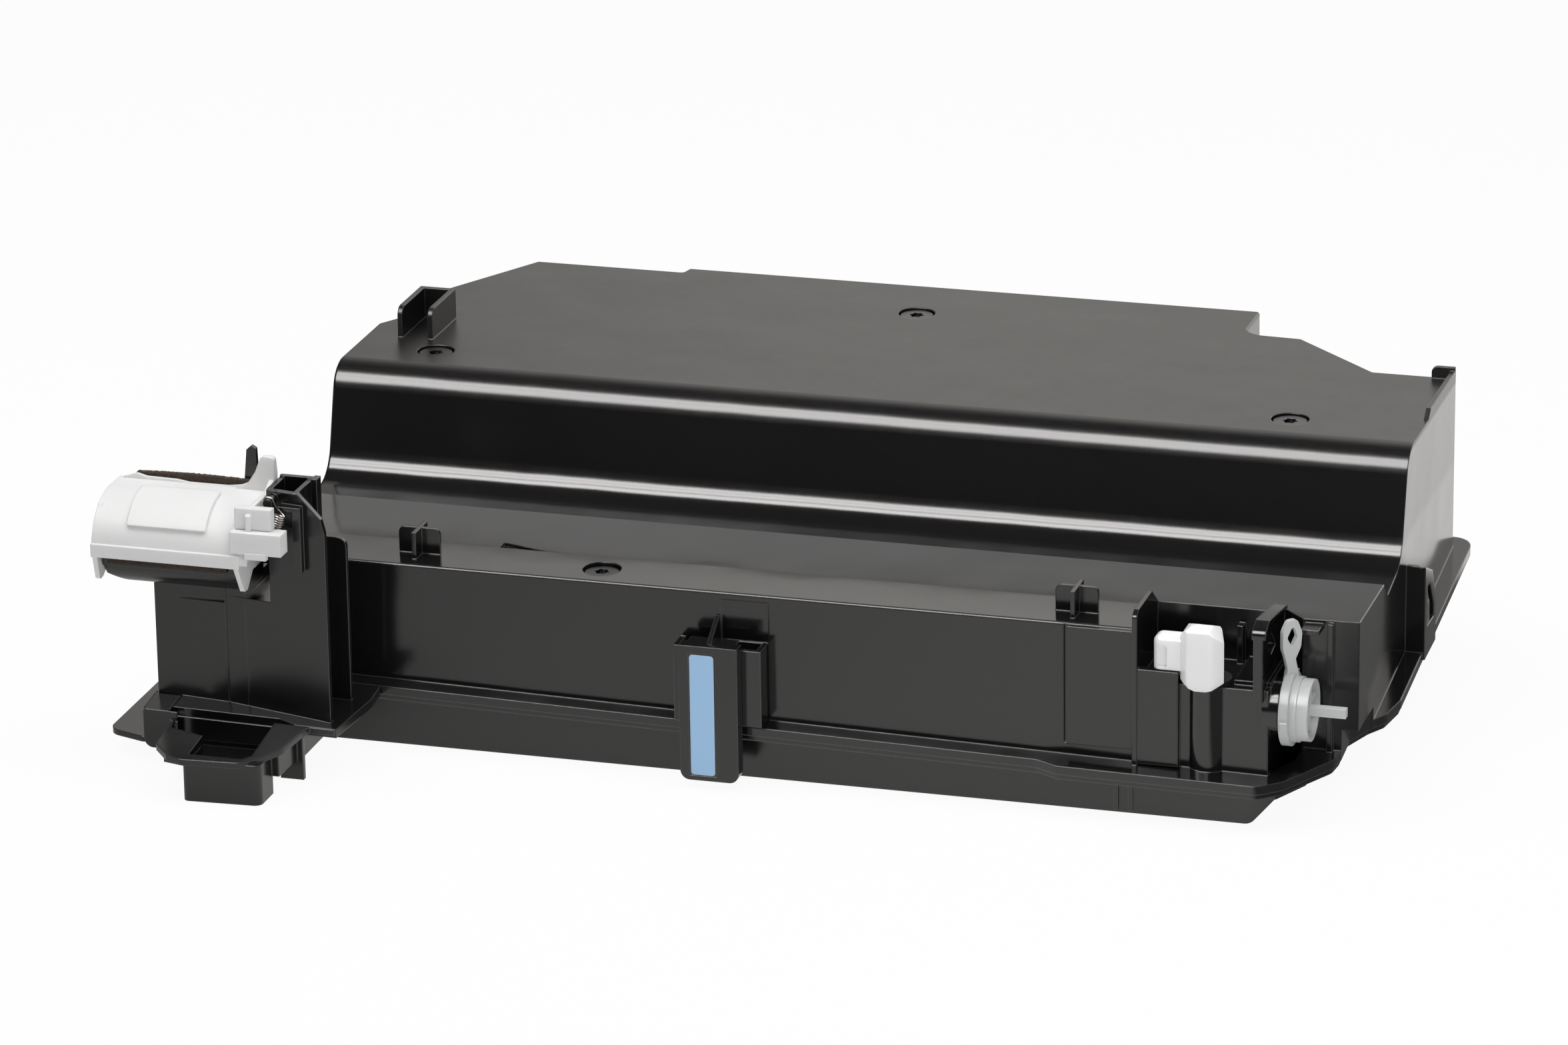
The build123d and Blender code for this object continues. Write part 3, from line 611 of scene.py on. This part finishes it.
@dataclass
class FoamStrip:
    """Strip of open foam with a pitted skin, in place of a plain block."""

    finishes: dict
    node: str
    cell: float = 0.9 * MM
    depth: float = 0.30 * MM
    voxel: float = 0.24 * MM
    corner: float = 0.45 * MM
    corner_steps: int = 3
    crown: float = 0.0
    smooth_angle: float = math.radians(60)

    def apply(self, strip: bpy.types.Object, kind: str, settings: dict) -> None:
        """Adds and applies one modifier.

        Args:
            strip: the object.
            kind: the modifier's type.
            settings: its attributes.
        """
        modifier = strip.modifiers.new(kind.lower(), kind)
        for key, value in settings.items():
            setattr(modifier, key, value)
        bpy.ops.object.modifier_apply(modifier=modifier.name)

    def arch(self, strip: bpy.types.Object, low: Vector, high: Vector) -> None:
        """Lifts the top towards the middle of the strip.

        Args:
            strip: the object.
            low: lower corner of the plain block.
            high: upper corner of the plain block.
        """
        middle, half = (low.x + high.x) / 2, (high.x - low.x) / 2
        for vertex in strip.data.vertices:
            share = (vertex.co.x - middle) / half
            vertex.co.z += self.crown * (1.0 - share * share) * (vertex.co.z - low.z) / (high.z - low.z)

    def build(self) -> bpy.types.Object:
        """Models the strip.

        Returns:
            The strip.
        """
        low, high = (Vector(corner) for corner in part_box(self.node))
        bpy.ops.object.select_all(action="DESELECT")
        bpy.ops.mesh.primitive_cube_add(size=1.0, location=(low + high) / 2)
        strip = bpy.context.object
        strip.name = f"{self.node}_skin"
        strip.scale = high - low
        bpy.ops.object.transform_apply(location=True, rotation=True, scale=True)
        self.apply(strip, "BEVEL", {"width": self.corner, "segments": self.corner_steps})
        self.apply(strip, "REMESH", {"mode": "VOXEL", "voxel_size": self.voxel})
        pits = bpy.data.textures.new(f"{self.node}_pits", "VORONOI")
        pits.noise_scale = self.cell
        self.apply(strip, "DISPLACE", {"texture": pits, "texture_coords": "LOCAL", "strength": self.depth,
                                       "mid_level": 1.0})
        self.arch(strip, low, high)
        bpy.ops.object.shade_smooth_by_angle(angle=self.smooth_angle)
        strip.data.materials.append(self.finishes["port_foam"])
        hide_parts(self.node)
        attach(strip, "housing")
        LOG.info("strip %s, %d faces", strip.name, len(strip.data.polygons))
        return strip


def card(name: str, size: float, place: tuple, turn: tuple, material: bpy.types.Material) -> bpy.types.Object:
    """Stands one square of the stage.

    Args:
        name: the object's name.
        size: side in metres.
        place: its middle.
        turn: its rotation in radians.
        material: its paper.

    Returns:
        The square.
    """
    bpy.ops.object.select_all(action="DESELECT")
    bpy.ops.mesh.primitive_plane_add(size=size, location=place, rotation=turn)
    plane = bpy.context.object
    plane.name = name
    plane.data.materials.append(material)
    return plane


def facing(place: tuple, aim: tuple) -> tuple:
    """Rotation that turns a lamp or a panel to a point.

    Args:
        place: where it hangs.
        aim: the point that it faces.

    Returns:
        Euler angles in radians.
    """
    return tuple((Vector(aim) - Vector(place)).to_track_quat("-Z", "Y").to_euler())


@dataclass(frozen=True)
class Dip:
    """Part of a paper whose reflection is shaded by something off the picture."""

    across: tuple
    along: tuple
    depth: float

    def share(self, bench: Bench) -> Shade:
        """Share of the paper's reflection that is left.

        Args:
            bench: the paper's bench.

        Returns:
            1 in the open, less in the shade.
        """
        shade: Operand = self.depth
        for axis, (absent, full) in (("X", self.across), ("Y", self.along)):
            low, high = (0.0, 1.0) if absent < full else (1.0, 0.0)
            shade = bench.fade(bench.axis(axis), min(absent, full), max(absent, full), low, high) * shade
        return 1.0 - shade


@dataclass(frozen=True)
class Paper:
    """Pale paper that shows as clean white, and whose reflection fades along X."""

    name: str
    size: float
    place: tuple
    turn: tuple
    glow: float
    stops: tuple
    tint: tuple
    dips: tuple = ()
    seen: bool = True
    pale: tuple = (0.86, 0.86, 0.86)

    def material(self) -> bpy.types.Material:
        """Builds the node material.

        Returns:
            The material.
        """
        bench = Bench(bpy.data.materials.new(f"{self.name}_paper"))
        camera, glossy, clear = (bench.ray(f"Is {kind} Ray") for kind in ("Camera", "Glossy", "Transmission"))
        along = bench.axis("X")
        level: Operand = self.stops[0][1]
        for (start, low), (end, high) in zip(self.stops, self.stops[1:]):
            level = bench.fade(along, start, end, 0.0, high - low) + level
        for dip in self.dips:
            level = level * dip.share(bench)
        feeds = {"Color": bench.blend(glossy, WHITE, self.tint), "Strength": camera + clear + glossy * level}
        light = bench.node("ShaderNodeEmission", {}, feeds)
        diffuse = bench.node("ShaderNodeBsdfDiffuse", {}, {"Color": rgba(self.pale)})
        return bench.close(bench.mix((camera + glossy + clear) * self.glow, diffuse, light))

    def lay(self) -> None:
        """Lays or stands the paper."""
        card(self.name, self.size, self.place, self.turn, self.material()).visible_camera = self.seen


@dataclass(frozen=True)
class Gleam:
    """Bright panel in front and above that only reflections see, with dimmer bars across it."""

    place: tuple = (-0.4, -1.0, 1.3)
    aim: tuple = (0.0, 0.0, 0.08)
    size: tuple = (1.5, 0.85)
    level: float = 13.0
    bars: tuple = ((0.10, 0.035, 0.8), (-0.20, 0.02, 0.6))
    colour: tuple = (1.0, 0.985, 0.97)

    def material(self) -> bpy.types.Material:
        """Builds the node material.

        Returns:
            The material.
        """
        bench = Bench(bpy.data.materials.new("gleam_paper"))
        along = bench.axis("Y")
        level: Operand = self.level
        for middle, half, share in self.bars:
            bar = bench.node("ShaderNodeMath", {"operation": "COMPARE"}, {0: along, 1: middle, 2: half})
            level = level * (1.0 - bar * share)
        light = bench.node("ShaderNodeEmission", {}, {"Color": rgba(self.colour), "Strength": level})
        clear = bench.node("ShaderNodeBsdfTransparent", {}, {})
        return bench.close(bench.mix(bench.ray("Is Glossy Ray"), clear, light))

    def hang(self) -> None:
        """Hangs the panel."""
        card("gleam", 1.0, self.place, facing(self.place, self.aim), self.material()).scale = (*self.size, 1.0)


@dataclass(frozen=True)
class SoftBox:
    """Soft lamp that reflections don't see."""

    name: str
    place: tuple
    aim: tuple
    size: tuple
    power: float

    def hang(self) -> None:
        """Hangs the lamp."""
        data = bpy.data.lights.new(self.name, "AREA")
        data.shape = "RECTANGLE"
        data.size, data.size_y = self.size
        data.energy = self.power
        lamp = bpy.data.objects.new(self.name, data)
        bpy.context.collection.objects.link(lamp)
        lamp.location = self.place
        lamp.rotation_euler = facing(self.place, self.aim)
        lamp.visible_glossy = False


@dataclass(frozen=True)
class Sky:
    """World light: soft on the surfaces, nearly black in reflections and white for the camera."""

    soft: float = 0.14
    gloom: float = 0.05
    gloom_tint: tuple = (0.96, 0.92, 1.0)

    def spread(self) -> None:
        """Makes the world."""
        bpy.context.scene.world = bpy.data.worlds.new("sky")
        bench = Bench(bpy.context.scene.world)
        shade = self.shine(bench, WHITE, self.soft)
        shade = bench.mix(bench.ray("Is Glossy Ray"), shade, self.shine(bench, self.gloom_tint, self.gloom))
        bench.close(bench.mix(bench.ray("Is Camera Ray"), shade, self.shine(bench, WHITE, 1.0)))

    def shine(self, bench: Bench, colour: tuple, strength: float) -> Shade:
        """Adds one background.

        Args:
            bench: the world's bench.
            colour: colour of the light.
            strength: its strength.

        Returns:
            The background's shader.
        """
        return bench.node("ShaderNodeBackground", {}, {"Color": rgba(colour), "Strength": strength})


@dataclass(frozen=True)
class Viewpoint:
    """Camera at the photograph's angle, in metres, degrees and millimetres."""

    place: tuple = (0.6012, -2.1043, 0.8202)
    swing: float = 16.70
    tilt: float = 19.44
    roll: float = -0.82
    lens: float = 168.5
    sensor: float = 36.0

    def stand(self) -> None:
        """Stands the camera and looks through it."""
        swing, tilt, roll = (math.radians(v) for v in (self.swing, self.tilt, self.roll))
        ahead = Vector((-math.sin(swing) * math.cos(tilt), math.cos(swing) * math.cos(tilt), -math.sin(tilt)))
        right = Vector((math.cos(swing), math.sin(swing), 0.0))
        up = right.cross(ahead)
        rolled_right = math.cos(roll) * right + math.sin(roll) * up
        rolled_up = -math.sin(roll) * right + math.cos(roll) * up
        data = bpy.data.cameras.new("camera")
        data.lens = self.lens
        data.sensor_width = self.sensor
        camera = bpy.data.objects.new("camera", data)
        bpy.context.collection.objects.link(camera)
        axes = Matrix((rolled_right, rolled_up, -ahead)).transposed().to_4x4()
        camera.matrix_world = Matrix.Translation(Vector(self.place)) @ axes
        bpy.context.scene.camera = camera


@dataclass(frozen=True)
class Studio:
    """Floor, back paper, light and camera."""

    floor: Paper = Paper(
        "floor", 14.0, (0.0, 0.0, -0.0002), (0.0, 0.0, 0.0), glow=0.94, tint=(1.0, 0.985, 0.96),
        stops=((-0.55, 0.45), (-0.20, 0.75), (0.10, 1.05), (0.35, 1.68)),
        dips=(Dip((-0.12, -0.16), (-0.20, -0.165), 0.25), Dip((0.14, 0.165), (0.145, 0.115), 0.88)))
    back: Paper = Paper(
        "back", 3.4, (0.0, 2.2, 1.701), (math.pi / 2, 0.0, 0.0), glow=1.0, tint=(1.0, 0.965, 0.92), seen=False,
        stops=((-1.60, 0.40), (-1.05, 0.70), (-0.88, 0.95), (-0.62, 1.10), (-0.30, 1.04), (0.10, 1.2), (0.75, 2.2)))
    gleam: Gleam = Gleam()
    sky: Sky = Sky()
    lamps: tuple = (
        SoftBox("overhead", (0.0, -0.15, 1.35), (0.0, 0.0, 0.05), (2.4, 0.9), 23.5),
        SoftBox("fill", (0.45, -0.75, 0.35), (0.13, -0.1, 0.05), (0.4, 0.3), 1.2),
    )
    viewpoint: Viewpoint = Viewpoint()

    def build(self) -> None:
        """Sets the whole stage."""
        self.floor.lay()
        self.back.lay()
        self.gleam.hang()
        self.sky.spread()
        for lamp in self.lamps:
            lamp.hang()
        self.viewpoint.stand()
        bpy.context.scene.view_settings.view_transform = "Standard"
        LOG.info("stage set")


def main() -> None:
    """Builds and dresses the unit."""
    logging.basicConfig(level=logging.INFO, format="%(name)s %(message)s")
    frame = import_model()
    bpy.ops.object.select_all(action="DESELECT")
    finishes = Finishes().build()
    Housing(frame, finishes).dress()
    Coil(finishes).build()
    FoamStrip(finishes, "port_seal_rear", crown=0.5 * MM).build()
    FoamStrip(finishes, "port_seal_front").build()
    Studio().build()


if __name__ == "__main__":
    main()
